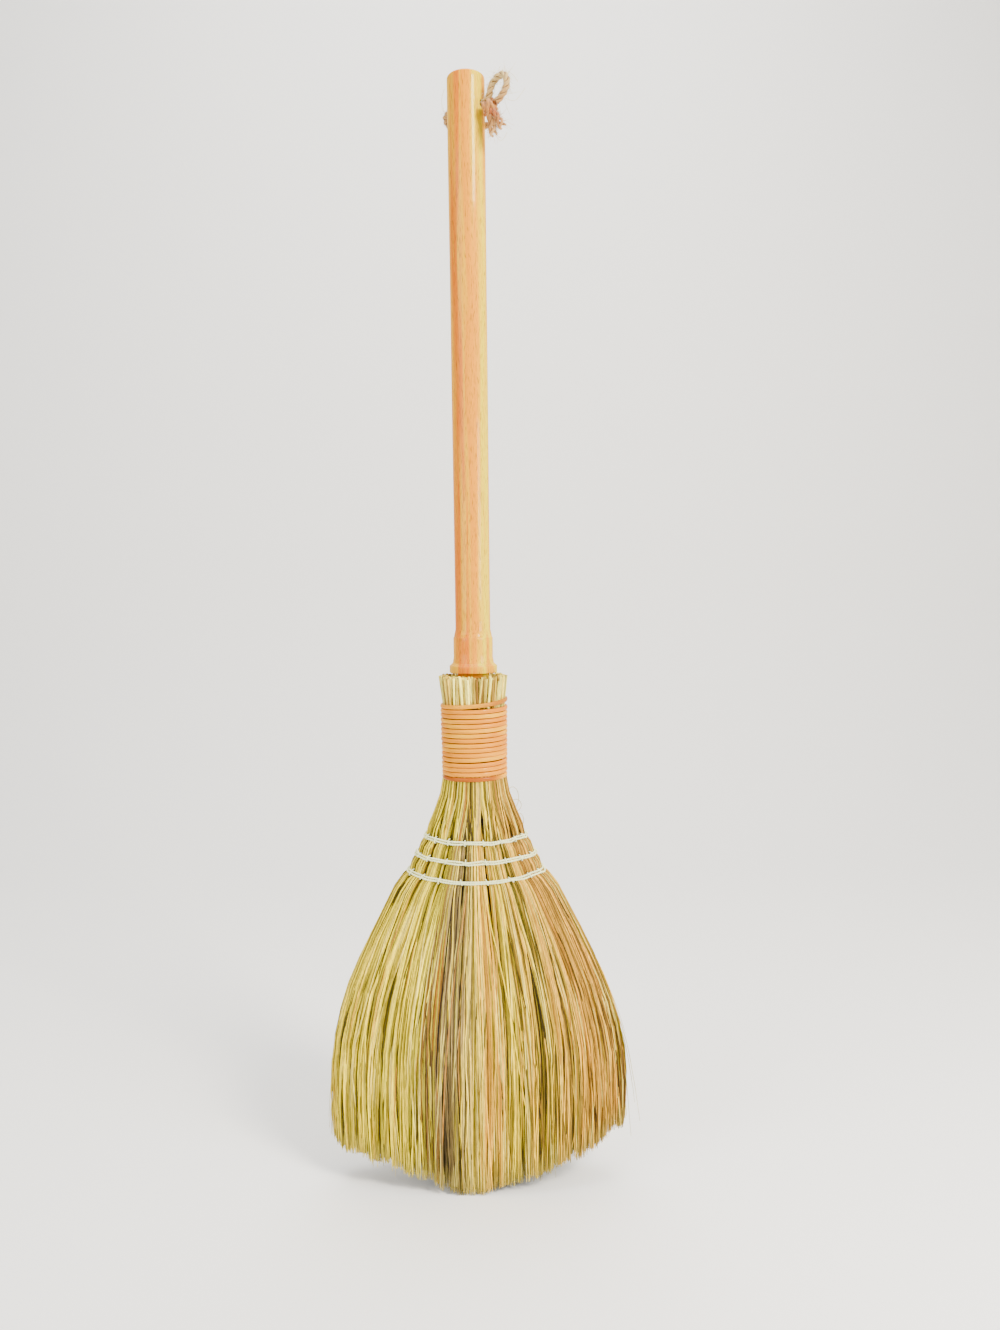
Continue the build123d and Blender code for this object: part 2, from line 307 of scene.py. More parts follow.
@dataclass(frozen=True)
class SpunFibre:
    """Spun plant fibre, cotton or jute: matt, with fine hairs along the ply that catch light at its edge."""

    name: str
    fibre_mm: float
    sheen: float
    tones: tuple[str, str] | None = None  # dark and pale, for a curve, which carries no tints

    def build(self) -> Material:
        """Make the material."""
        material, tree, shader = new_material(self.name)
        place = add_node(tree, "ShaderNodeTexCoord", out="Object")
        fibres = add_node(
            tree, "ShaderNodeTexNoise",
            {"Vector": place, "Scale": 1 / (self.fibre_mm * MM), "Detail": 4.0, "Roughness": 0.7},
        )
        if self.tones:
            stops = tuple(zip(NOISE_RANGE.values(), self.tones))
            tint = add_node(tree, "ShaderNodeValToRGB", {0: fibres}, stops)
        else:
            tint = add_node(tree, "ShaderNodeAttribute", attribute_name="tint")
        colour = shade_tint(tree, tint, fibres, 0.7, 1.15)
        bump = add_node(
            tree, "ShaderNodeBump", {"Height": fibres, "Strength": 0.5, "Distance": self.fibre_mm * MM / 2}
        )
        feed(shader, {"Base Color": colour, "Normal": bump, "Roughness": 0.85, "Sheen Weight": self.sheen})
        return material


@dataclass(frozen=True)
class PaleBackdrop:
    """Matt painted board for the floor and the wall behind, a little rough, so that it has no gloss."""

    colour: str = "F6F5F2"
    grains_per_metre: float = 900.0  # of rolled paint, about 1.1 mm each

    def build(self) -> Material:
        """Make the material."""
        material, tree, shader = new_material("matt_pale_board")
        place = add_node(tree, "ShaderNodeTexCoord", out="Object")
        paint = add_node(tree, "ShaderNodeTexNoise", {"Vector": place, "Scale": self.grains_per_metre})
        bump = add_node(tree, "ShaderNodeBump", {"Height": paint, "Strength": 0.05, "Distance": 0.1 * MM})
        feed(shader, {"Base Color": linear(self.colour), "Normal": bump, "Roughness": 0.8})
        return material


def show(name: str, data: bpy.types.ID) -> bpy.types.Object:
    """Put an object with this data in the scene."""
    made = bpy.data.objects.new(name, data)
    bpy.context.scene.collection.objects.link(made)
    return made


def to_mesh(bm: bmesh.types.BMesh, name: str) -> bpy.types.Mesh:
    """Turn a bmesh to a mesh and free it."""
    mesh = bpy.data.meshes.new(name)
    bm.to_mesh(mesh)
    bm.free()
    return mesh


def mark(piece: bpy.types.Object, body: Body, nodes: tuple[str, ...]) -> None:
    """Hang a piece on the body that it rides on, and hide the CAD nodes that it stands for."""
    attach(piece, body.value)
    if nodes:
        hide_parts(*nodes)


def link_piece(
    name: str,
    mesh: bpy.types.Mesh,
    material: Material,
    body: Body,
    nodes: tuple[str, ...] = (),
    sharp_degrees: float = 40.0,
) -> bpy.types.Object:
    """Put a finished mesh in the scene as a piece that rides on a body.

    Args:
        name: The piece's name.
        mesh: The mesh, in metres in the shared frame.
        material: Its finish.
        body: The body that it rides on.
        nodes: The CAD nodes that it stands for.
        sharp_degrees: The angle past which an edge stays sharp.

    Returns:
        The piece.
    """
    mesh.materials.clear()
    mesh.materials.append(material)
    mesh.polygons.foreach_set("use_smooth", np.ones(len(mesh.polygons), bool))
    mesh.set_sharp_from_angle(angle=math.radians(sharp_degrees))
    piece = show(name, mesh)
    mark(piece, body, nodes)
    log.info("%s: %d faces", name, len(mesh.polygons))
    return piece


def distances(line: np.ndarray) -> np.ndarray:
    """How far along a line each of its points lies."""
    return np.r_[0, np.cumsum(np.linalg.norm(np.diff(line, axis=0), axis=1))]


def unit(vectors: np.ndarray) -> np.ndarray:
    """Vectors brought to length one."""
    return vectors / np.linalg.norm(vectors, axis=-1, keepdims=True)


def around(side: np.ndarray, other: np.ndarray, turn: np.ndarray) -> np.ndarray:
    """Offsets of length one round a line, from its two side directions and the turn at each point."""
    return side * np.cos(turn)[:, None] + other * np.sin(turn)[:, None]


def between(places: np.ndarray, at: np.ndarray, values: np.ndarray) -> np.ndarray:
    """Places or colours between those known at some points."""
    return np.stack([np.interp(places, at, column) for column in values.T], axis=-1)


def colour_stops(stops: Stops, places: np.ndarray) -> np.ndarray:
    """Linear colours at places along a line of hex colours."""
    return between(places, [place for place, _ in stops], np.array([rgb(colour) for _, colour in stops]))


def mix(tints: np.ndarray, hex_colour: str, share: np.ndarray) -> np.ndarray:
    """Tints with a share of another colour."""
    return tints * (1 - share) + rgb(hex_colour) * share


def smooth(low: float | np.ndarray, high: float, value: np.ndarray) -> np.ndarray:
    """Rise smoothly from 0 at low to 1 at high."""
    t = np.clip((value - low) / (high - low), 0, 1)
    return t * t * (3 - 2 * t)


@dataclass
class Bundle:
    """Round or shaped strands gathered for one mesh: their lines, radii and tints, point by point."""

    lines: list[np.ndarray] = field(default_factory=list)
    radii: list[np.ndarray] = field(default_factory=list)
    tints: list[np.ndarray] = field(default_factory=list)

    def add(self, lines: np.ndarray, radii: np.ndarray | float, tints: np.ndarray) -> None:
        """Add one strand, or strands that have the same number of points.

        Args:
            lines: Places of the points, or strand by point by place, in millimetres.
            radii: Radii in millimetres, or one for all.
            tints: Linear colours, or one for all.
        """
        lines = np.reshape(lines, (-1, *np.shape(lines)[-2:]))
        self.lines += list(lines)
        self.radii += list(np.array(np.broadcast_to(radii, lines.shape[:2])))
        self.tints += list(np.broadcast_to(tints, lines.shape))

    def mesh(self, name: str, sides: int = 4) -> bpy.types.Mesh:
        """Sweep a round section along every strand.

        Args:
            name: The mesh's name.
            sides: Sides of a strand, 4 or more and even.

        Returns:
            The mesh, with its tints as an attribute.
        """
        curve = bpy.data.curves.new(name, "CURVE")
        curve.dimensions = "3D"
        curve.resolution_u = 1
        curve.use_fill_caps = True
        curve.bevel_depth = MM
        curve.bevel_resolution = (sides - 4) // 2
        for line, radius in zip(self.lines, self.radii):
            spline = curve.splines.new("POLY")
            spline.points.add(len(line) - 1)
            spline.points.foreach_set("co", np.c_[line * MM, np.ones(len(line))].ravel())
            spline.points.foreach_set("radius", radius)
        holder = bpy.data.objects.new(name, curve)
        mesh = bpy.data.meshes.new_from_object(holder)
        bpy.data.objects.remove(holder)
        bpy.data.curves.remove(curve)
        # A swept curve's mesh starts with its end caps, last strand first, and its rings follow
        caps = [tint[end] for tint in reversed(self.tints) for end in (-1, 0)]
        tints = np.repeat(np.concatenate([np.array(caps), *self.tints]), sides, axis=0)
        colour = mesh.attributes.new("tint", "FLOAT_COLOR", "POINT")
        colour.data.foreach_set("color", np.c_[tints, np.ones(len(tints))].ravel())
        return mesh

    def strip_mesh(self, name: str, section: Pairs) -> bpy.types.Mesh:
        """Draw an upright section along every strand, sized by its radii.

        Args:
            name: The mesh's name.
            section: Corners of the section, out and up, in millimetres.

        Returns:
            The mesh, with its tints, and how far along, up and out each point is, as attributes.
        """
        bm = bmesh.new()
        colour = bm.verts.layers.float_color.new("tint")
        strip = bm.verts.layers.float_vector.new("strip")
        for line, sizes, tints in zip(self.lines, self.radii, self.tints):
            ways, along = np.gradient(line, axis=0), distances(line)
            ring = [bm.verts.new() for _ in section]
            edges = [bm.edges.new((one, two)) for one, two in zip(ring, ring[1:] + ring[:1])]
            bm.faces.new(reversed(ring))
            for number, (place, way, size, tint) in enumerate(zip(line, ways, sizes, tints)):
                if number:
                    grown = bmesh.ops.extrude_edge_only(bm, edges=edges)["geom"]
                    edges = [item for item in grown if isinstance(item, bmesh.types.BMEdge)]
                    edges = [edge for edge in edges if not any(vert in ring for vert in edge.verts)]
                    ring = self.next_ring(ring, edges)
                out = Vector((way[1], -way[0], 0)).normalized()
                for vert, (far, up) in zip(ring, section):
                    vert.co = (Vector(place) + out * far * size + Vector((0, 0, up * size))) * MM
                    vert[colour] = (*tint, 1.0)
                    vert[strip] = (along[number] * MM, up * MM, far * MM)
            bm.faces.new(ring)
        bmesh.ops.recalc_face_normals(bm, faces=bm.faces)
        return to_mesh(bm, name)

    @staticmethod
    def next_ring(ring: list, edges: list) -> list:
        """The corners of a drawn-out ring, in the order of the ring that it came from."""
        new = {vert for edge in edges for vert in edge.verts}
        return [next(e.other_vert(v) for e in v.link_edges if e.other_vert(v) in new) for v in ring]


@dataclass(frozen=True)
class FanShape:
    """Outer shape of the straw, in millimetres, the same for the strands, the binding and the twine."""

    half_widths: Pairs = (
        (0, 119.8), (28, 120.6), (54, 121.2), (72, 121.6), (98, 120.8), (115, 119.3), (132, 115.9),
        (149, 111.4), (166, 106.0), (183, 98.9), (200, 91.8), (216, 84.0), (233, 75.0), (250, 65.8),
        (258, 59.0), (262.5, 54.4), (269, 51.9), (275.9, 47.9), (283, 44.6), (290.8, 40.4),
        (299.6, 37.4), (309.5, 33.2), (323.2, 28.2), (332, 25.8), (337.1, 24.5), (402.1, 25.3),
        (418.5, 27.7),
    )
    half_depths: Pairs = (
        (0, 30.5), (100, 30.6), (200, 30.4), (262.5, 29.6), (290.8, 28.0), (323.2, 25.3),
        (337.1, 24.2), (402.1, 25.3), (418.5, 27.7),
    )
    # Heights of the tips across the fan, left to right, as the front view shows them
    tips: Pairs = (
        (-122, 36), (-118, 33), (-107, 30), (-97, 29), (-87, 25.6), (-77, 24.3), (-67, 22.5), (-57, 16),
        (-48, 15), (-38, 13.5), (-28, 5), (-19, 1.9), (-9, 0.6), (1, 1.3), (10.5, 4.6), (20, 6.9), (30, 9.1),
        (39.5, 12.1), (49, 13.2), (59, 20), (69, 23.5), (79, 27.5), (89, 29.5), (99, 37), (109, 45),
        (122, 47),
    )

    def sizes(self, z: np.ndarray) -> tuple[np.ndarray, np.ndarray]:
        """Half width and half depth of the straw at a height."""
        widths, depths = np.array(self.half_widths).T, np.array(self.half_depths).T
        return np.interp(z, *widths), np.interp(z, *depths)

    def place(self, z: Reals, angle: Reals, share: Reals, out: Reals) -> np.ndarray:
        """Places in the straw.

        Args:
            z: Heights.
            angle: Angles from the X axis, stretched with the fan.
            share: How far out, 1 at the surface.
            out: Millimetres added along the surface's normal.

        Returns:
            Places in millimetres.
        """
        width, depth = self.sizes(z)
        across, deep = np.cos(angle) / width, np.sin(angle) / depth
        norm = np.hypot(across, deep)
        x = share * width * np.cos(angle) + out * across / norm
        y = share * depth * np.sin(angle) + out * deep / norm
        return np.stack(np.broadcast_arrays(x, y, z), axis=-1)


FAN = FanShape()


@dataclass(frozen=True)
class TwineLevel:
    """Where one row of twine crosses the straw, in millimetres."""

    node: str
    z: float
    sag: float

    def height(self, angle: np.ndarray) -> np.ndarray:
        """Height of the row at an angle: lower in the middle of the front and back."""
        return self.z - self.sag * np.sin(angle) ** 2


ROWS = (
    TwineLevel("top_twine_row", 290.8, 1.5),
    TwineLevel("middle_twine_row", 275.9, 1.8),
    TwineLevel("low_twine_row", 262.5, 4.3),
)


@dataclass
class Straw:
    """The straw: tufts of loose strands laid round the tenon, with cut ends above the binding."""

    tuft_count: int = 18
    outer_strands: int = 340
    inner_strands: int = 140
    neck_strands: int = 34
    clumps: int = 24
    strand_radius: float = 0.57
    neck_radius: float = 0.62
    crossing_share: float = 0.45  # share of the strands that cross their neighbours
    clump_share: float = 0.85  # share of the strands that lie with their nearest clump
    clump_pull: float = 0.38  # how far a clump draws its strands together at their tips
    clump_contrast: float = 0.09  # spread of brightness from clump to clump
    strand_contrast: float = 0.66  # and from strand to strand
    skirt_half_width: float = 121.0
    stray_radius: float = 0.34
    curl_radius: float = 0.22
    lowest: float = 0.4  # height that no strand's centre line goes below
    seed: int = 7
    # A strand's points: heights above the rows of twine, and shares of the way from them to its tip
    neck_levels: tuple[float, ...] = (343.0, 325.0, 310.0)
    skirt_levels: tuple[float, ...] = (0.09, 0.18, 0.28, 0.38, 0.48, 0.58, 0.69, 0.8, 0.91, 1.0)
    # Rings of cut ends in a tuft: how many, how deep their middles lie, and their radius
    stub_rings: tuple[tuple[int, float, float], ...] = (
        (4, 1.0, 0.98), (4, 3.2, 0.98), (3, 5.4, 1.0), (2, 7.8, 1.0),
    )
    # The heart's heights, and its share of the straw's size at each
    heart_rings: Pairs = (
        (BINDING_TOP_Z + 4, 0.80), (390, 0.93), (360, 0.93), (343, 0.91), (325, 0.9), (310, 0.9), (300, 0.9),
        (291, 0.88), (283, 0.88), (276, 0.87), (269, 0.86), (261, 0.82), (252, 0.74), (240, 0.66), (215, 0.5),
        (180, 0.36), (140, 0.2),
    )

    # Loose stalks off the skirt: angle in degrees, top and foot heights, and how far the foot stands off
    strays: tuple[tuple[float, ...], ...] = (
        (358, 196, 46, 13.0), (2, 176, 60, 9.0), (355, 150, 34, 6.0), (4, 208, 118, 5.0), (182, 150, 52, 4.5),
        (177, 132, 40, 6.0), (185, 96, 38, 3.5), (262, 70, 9, 2.5), (301, 66, 14, 2.5), (236, 72, 16, 3.0),
        (14, 120, 50, 4.0), (165, 118, 44, 4.5), (60, 90, 12, 3.0), (97, 84, 8, 3.0), (131, 88, 20, 3.5),
    )
    # Curled ends that stand off the neck: middle, half width and half height
    curls: tuple[tuple[float, ...], ...] = (
        (30.5, -5.0, 321.0, 5.0, 9.0), (33.0, -6.0, 315.0, 4.5, 5.0), (-30.0, -5.0, 309.0, -3.5, 6.0),
        (36.0, 5.0, 300.0, 3.5, 6.0),
    )
    # Tints of the cut ends, by chance
    cut_ends: Stops = (
        (0, "F6EC7C"), (0.45, "E4CF53"), (0.7, "CAAA3F"), (0.85, "95742B"), (1, "6D4D19"),
    )
    # Shares of the stalks that differ from their neighbours: pale (bleached, and also a painted highlight),
    # dark (painted shade of the gaps between strands), green and reddish
    odd_stalks: tuple[tuple[float, float, str], ...] = (
        (0.0, 0.13, "FFE870"), (0.13, 0.30, "1C1204"), (0.30, 0.35, "8E7E0C"), (0.35, 0.38, "C07A1E"),
    )
    # Tints across the front, from the left side (-1) to the right side (1)
    front: Stops = (
        (-1.0, "DEC22F"), (-0.95, "E6CE28"), (-0.86, "D2B91F"), (-0.78, "E6D024"), (-0.70, "D8BB1D"),
        (-0.62, "E8D327"), (-0.52, "D0B71E"), (-0.44, "E2CE26"), (-0.36, "DAC626"), (-0.335, "89601E"),
        (-0.31, "5D4318"), (-0.27, "856A3A"), (-0.20, "9F8752"), (-0.13, "937C48"), (-0.08, "B69D4C"),
        (-0.05, "DDC23D"), (0.02, "D5B736"), (0.06, "D1A32F"), (0.11, "CF9527"), (0.16, "D6AE2D"),
        (0.20, "DBBC1C"), (0.26, "E1C61B"), (0.33, "C3A11C"), (0.38, "C3942B"), (0.46, "DBBF29"),
        (0.52, "C9A327"), (0.58, "BA8C2B"), (0.66, "C79F31"), (0.74, "B88326"), (0.82, "C0922E"),
        (0.9, "B07D26"), (1.0, "AA7F2B"),
    )
    back: Stops = (
        (-1.0, "D4B72D"), (-0.8, "DEC623"), (-0.62, "CDA821"), (-0.4, "E2CE28"), (-0.25, "A68538"),
        (-0.1, "D0B544"), (0.12, "D5B727"), (0.3, "A78525"), (0.45, "CDAE29"), (0.65, "C3982B"),
        (0.8, "D1B02E"), (1.0, "B2812B"),
    )

    def tints(self, chance: Chance, lines: np.ndarray, clump: np.ndarray) -> np.ndarray:
        """Tint each strand by where it lies and which clump it is in, with painted shade deep in the straw
        and painted light near the tips.

        Args:
            chance: The tuft's random numbers.
            lines: Strand by point by place.
            clump: The clump that each strand is in.

        Returns:
            Linear colours, strand by point.
        """
        middle = lines[:, -3]
        across = middle[:, 0] / FAN.sizes(middle[:, 2])[0] + chance.normal(0, 0.045, len(lines))
        front, back = colour_stops(self.front, across), colour_stops(self.back, across)
        base = np.where(middle[:, 1:2] < 0, front, back)
        shade = chance.normal(1, self.clump_contrast, self.clumps)[clump]
        shade = shade * chance.normal(1.05, self.strand_contrast, len(lines))
        base = base * np.clip(shade, 0.1, 2.1)[:, None]
        # Some stalks are painted pale as highlights and some near-black as the shade in the gaps between
        # strands
        odd = chance.random(len(lines))
        for low, high, colour in self.odd_stalks:
            picked = (odd >= low) & (odd < high)
            base[picked] = (base[picked] + 2 * rgb(colour)) / 3
        x, y, z = np.moveaxis(lines, -1, 0)
        width, depth = FAN.sizes(z)
        # What lies deeper in the straw is in its own shadow
        lit = smooth(0.86 + 0.05 * smooth(250, 320, z), 1, np.hypot(x / width, y / depth))
        tints = base[:, None] * (0.08 + 0.8 * lit)[..., None]
        tints = tints * np.clip(chance.normal(1, 0.14, z.shape), 0.6, 1.5)[..., None]
        tints = mix(tints, "B3981C", smooth(300, 330, z)[..., None] * 0.15)
        # Within 14 mm of its tip a strand is painted paler: painted light where the tips stand out of the
        # straw's shade
        return mix(tints, "C9B859", smooth(14, 0, z - z[:, -1:])[..., None] * 0.35)

    def strands(self, chance: Chance, middle: float, top: int, shares: np.ndarray) -> tuple[np.ndarray, ...]:
        """Lay strands of one tuft from under the binding, through the rows of twine, to their tips.

        Args:
            chance: The tuft's random numbers.
            middle: The tuft's middle angle.
            top: The level that they start at, 0 for the binding.
            shares: How far out each strand lies.

        Returns:
            Lines, radii and tints, strand by point.
        """
        count = len(shares)
        half = TURN / self.tuft_count / 2
        side = chance.uniform(-1, 1, count)
        crossing = np.where(chance.random(count) < self.crossing_share, chance.normal(0, 0.55, count), 0)
        rows = [row.height(middle + side * half) for row in ROWS]
        low = rows[2]
        levels = [np.full(count, level) for level in self.neck_levels]
        levels += [rows[0] + 8, rows[0], (rows[0] + rows[1]) / 2, rows[1], (rows[1] + low) / 2]
        levels += [low, low - 5, low - 15]

        # Most strands belong to the clump nearest to their tips
        end_angle = middle + (side * 1.08 + crossing) * half
        end_x = shares * np.cos(end_angle) * self.skirt_half_width
        group = chance.integers(0, self.clumps, count)
        centres = chance.uniform(-1, 1, self.clumps) * half * 1.05 + middle
        centre_shares = chance.choice(shares, self.clumps)
        apart = np.abs(end_angle[:, None] - centres) * 60 + np.abs(shares[:, None] - centre_shares) * 40
        nearest = np.argmin(apart, axis=1)
        group = np.where(chance.random(count) < self.clump_share, nearest, group)
        tips = np.interp(end_x, *np.array(FAN.tips).T)
        tips = tips + chance.normal(0, 1.6, self.clumps)[group] + np.abs(chance.normal(0, 2.2, count)) - 1.0
        tips = np.maximum(tips, self.lowest)
        levels += [low - 15 + (tips - low + 15) * share for share in self.skirt_levels]
        z = np.stack(levels[top:], axis=1)
        down = np.clip((low[:, None] - z) / (low - tips)[:, None], 0, 1)

        # The twine squeezes the tuft, and below it the clumps part
        bound = smooth(333, 300, z) * smooth(185, 255, z)
        across = side[:, None]
        spread = middle + across * half * (1 - 0.14 * bound) * (1 + 0.08 * down)
        spread = spread + crossing[:, None] * half * down
        spread += chance.normal(0, 0.5, count)[:, None] * half * smooth(280, 335, z)
        pull = self.clump_pull * smooth(0.05, 0.9, down) * (group == nearest)[:, None]
        spread = spread + (centres[group][:, None] - spread) * pull
        share = shares[:, None] + (centre_shares[group] - shares)[:, None] * pull * 0.6
        share = share * (1 - 0.055 * bound * across**2)
        if top:
            share = share * (1 - 0.16 * smooth(24, 0, z[:, :1] - z))
        pinch = np.zeros_like(z)
        for row, amount in zip(rows, (1.0, 0.9, 1.1)):
            pinch -= amount * np.exp(-(((z - row[:, None]) / 2.4) ** 2))
        pinch += 0.9 * smooth(333, 296, z) * smooth(215, 255, z)
        lines = FAN.place(z, spread, share, pinch)

        # Each strand sways on its way down
        phase, rate = chance.uniform(0, TURN, (2, count, 1)), chance.uniform(0.5, 2.2, (2, count, 1))
        size = np.abs(chance.normal(0, 1.1, (2, count, 1)))
        sway = size * down**1.1 * np.sin(phase + rate * TURN * down)
        lines[..., 0] += sway[0] * 1.2
        lines[..., 1] += sway[1] * 0.8
        lines[..., 2] = np.maximum(lines[..., 2], self.lowest)
        radii = self.strand_radius * np.clip(chance.normal(1, 0.16, count), 0.6, 1.5)[:, None]
        if top == 0:
            radii = radii * (1 + smooth(240, 330, z) * (self.neck_radius / self.strand_radius - 1))
        radii = radii * np.interp(down, (0, 0.8, 0.95, 1), (1, 0.95, 0.7, 0.3))
        return lines, radii, self.tints(chance, lines, group)

    def stub(self, bm: bmesh.types.BMesh, chance: Chance, angle: float, inset: float, radius: float) -> None:
        """Add one cut end of straw above the binding, hollow at its top.

        Args:
            bm: The bmesh that it joins.
            chance: The tuft's random numbers.
            angle: Where it stands round the bundle.
            inset: How deep its middle lies below the bundle's surface, in millimetres.
            radius: Its radius in millimetres.
        """
        tint = bm.verts.layers.float_color["tint"]
        foot_z, top_z = BINDING_TOP_Z - 6, min(420.0 + chance.normal(0, 0.9), RIM_Z - 1.3)
        lean = chance.normal(0.02, 0.06)
        foot = FAN.place(foot_z, angle, 1.0, -inset) * MM
        top = FAN.place(top_z, angle + lean, 1.0, -inset + chance.normal(0.2, 0.5)) * MM
        made = bmesh.ops.create_cone(
            bm, cap_ends=True, segments=8, radius1=radius * MM * 0.92, radius2=radius * MM, depth=1.0,
            matrix=Matrix.Translation((0, 0, 0.5)),
        )["verts"]
        axis = Vector(top - foot)
        turn = Vector((0, 0, 1)).rotation_difference(axis).to_matrix().to_4x4()
        cut = Matrix.Rotation(chance.normal(0, 0.2), 4, "X")
        for vert in made:
            if vert.co.z > 0.5:
                vert.co.z = axis.length + (cut @ Vector((vert.co.x, vert.co.y, 0))).z
        lid = max({face for vert in made for face in vert.link_faces}, key=lambda f: f.calc_center_median().z)
        inner = bmesh.ops.inset_region(bm, faces=[lid], thickness=radius * MM * 0.35)["faces"]
        hollow_floor = bmesh.ops.extrude_face_region(bm, geom=[lid])["geom"]
        sunk = [item for item in hollow_floor if isinstance(item, bmesh.types.BMVert)]
        bmesh.ops.translate(bm, vec=(0, 0, -1.2 * MM), verts=sunk)
        bmesh.ops.delete(bm, geom=[lid], context="FACES_ONLY")
        verts = set(made) | {vert for face in inner for vert in face.verts} | set(sunk)
        shade = float(np.clip(chance.normal(1.12, 0.28), 0.4, 1.5))
        colour = Vector(colour_stops(self.cut_ends, np.array(chance.random())))
        for vert in verts:
            vert[tint] = (*(colour * shade), 1.0)
        # The floor of the hollow is painted dark brown as the shade inside it
        for vert in sunk:
            vert[tint] = linear("4A3418")
        bmesh.ops.transform(bm, matrix=Matrix.Translation(foot) @ turn, verts=list(verts))

    def tuft(self, number: int, material: Material) -> None:
        """Build one tuft in place of its CAD solid.

        Args:
            number: The tuft's number, from 1.
            material: The straw's finish.
        """
        chance = np.random.default_rng(self.seed * 100 + number)
        middle = (number - 0.5) * TURN / self.tuft_count
        bundle = Bundle()
        outer = 1 - 0.36 * chance.random(self.outer_strands) ** 1.8
        bundle.add(*self.strands(chance, middle, 2, outer))
        inner = 0.12 + 0.5 * chance.random(self.inner_strands) ** 0.7
        bundle.add(*self.strands(chance, middle, 5, inner))
        neck = 1.0 - np.abs(chance.normal(0, 0.035, self.neck_strands))
        bundle.add(*self.strands(chance, middle, 0, neck))
        name = f"straw_{number:02d}"
        mesh = bundle.mesh(name)
        bm = bmesh.new()
        bm.from_mesh(mesh)
        for count, inset, radius in self.stub_rings:
            for place in range(count):
                shift = chance.normal(0, 0.08)
                angle = middle + ((place + 0.5) / count - 0.5 + shift) * TURN / self.tuft_count
                self.stub(bm, chance, angle, inset + abs(chance.normal(0, 0.3)), radius)
        bm.to_mesh(mesh)
        bm.free()
        link_piece(name, mesh, material, Body.BROOM, (f"tuft_{number:02d}",), 60)

    def heart(self, material: Material) -> None:
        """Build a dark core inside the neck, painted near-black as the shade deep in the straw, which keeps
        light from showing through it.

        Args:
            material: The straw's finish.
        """
        bm = bmesh.new()
        tint = bm.verts.layers.float_color.new("tint")
        sides = 48
        ring = bmesh.ops.create_circle(bm, cap_ends=True, segments=sides, radius=1.0)["verts"]
        last = np.ones(2)
        for number, (level, share) in enumerate(self.heart_rings):
            if number:
                lid = [face for face in ring[0].link_faces if len(face.verts) == sides]
                grown = bmesh.ops.extrude_face_region(bm, geom=lid)["geom"]
                bmesh.ops.delete(bm, geom=lid, context="FACES_ONLY")
                ring = [item for item in grown if isinstance(item, bmesh.types.BMVert)]
            size = np.array(FAN.sizes(level)) * share * MM
            bmesh.ops.transform(bm, matrix=Matrix.Diagonal((*(size / last), 1, 1)), verts=ring)
            bmesh.ops.translate(bm, vec=(0, 0, level * MM - ring[0].co.z), verts=ring)
            last = size
        for vert in bm.verts:
            # The core is painted near-black, as the shade deep inside the straw
            vert[tint] = linear("20160A")
        bmesh.ops.recalc_face_normals(bm, faces=bm.faces)
        link_piece("straw_shade_core", to_mesh(bm, "straw_shade_core"), material, Body.BROOM)

    def loose_ends(self, material: Material) -> None:
        """Build the few thin stalks that stand off the skirt and curl off the neck.

        Args:
            material: The straw's finish.
        """
        chance = np.random.default_rng(self.seed)
        bundle = Bundle()
        share = np.linspace(0, 1, 12)
        pale = rgb("BFAD5E")
        for degrees, top, foot, reach in self.strays:
            out = (reach + 1.5) * share**1.7 - 1.5 + chance.normal(0, 0.3) * np.sin(share * 7)
            angle = math.radians(degrees) + 0.02 * chance.normal() * share
            radii = self.stray_radius * np.interp(share, (0, 0.6, 1), (1, 0.8, 0.35))
            line = FAN.place(top + (foot - top) * share, angle, 1.0, out)
            bundle.add(line, radii, pale * chance.normal(1, 0.15))
        turn = np.radians(125 - 250 * share)
        for x, y, z, wide, high in self.curls:
            line = np.stack([x + wide * np.cos(turn), y + 2 * share, z + high * np.sin(turn)], axis=-1)
            bundle.add(line, self.curl_radius, pale)
        link_piece("straw_loose_ends", bundle.mesh("straw_loose_ends"), material, Body.BROOM)

    def build(self) -> None:
        """Build every tuft, the heart and the loose ends."""
        material = DryStraw().build()
        for number in range(1, self.tuft_count + 1):
            self.tuft(number, material)
        self.heart(material)
        self.loose_ends(material)


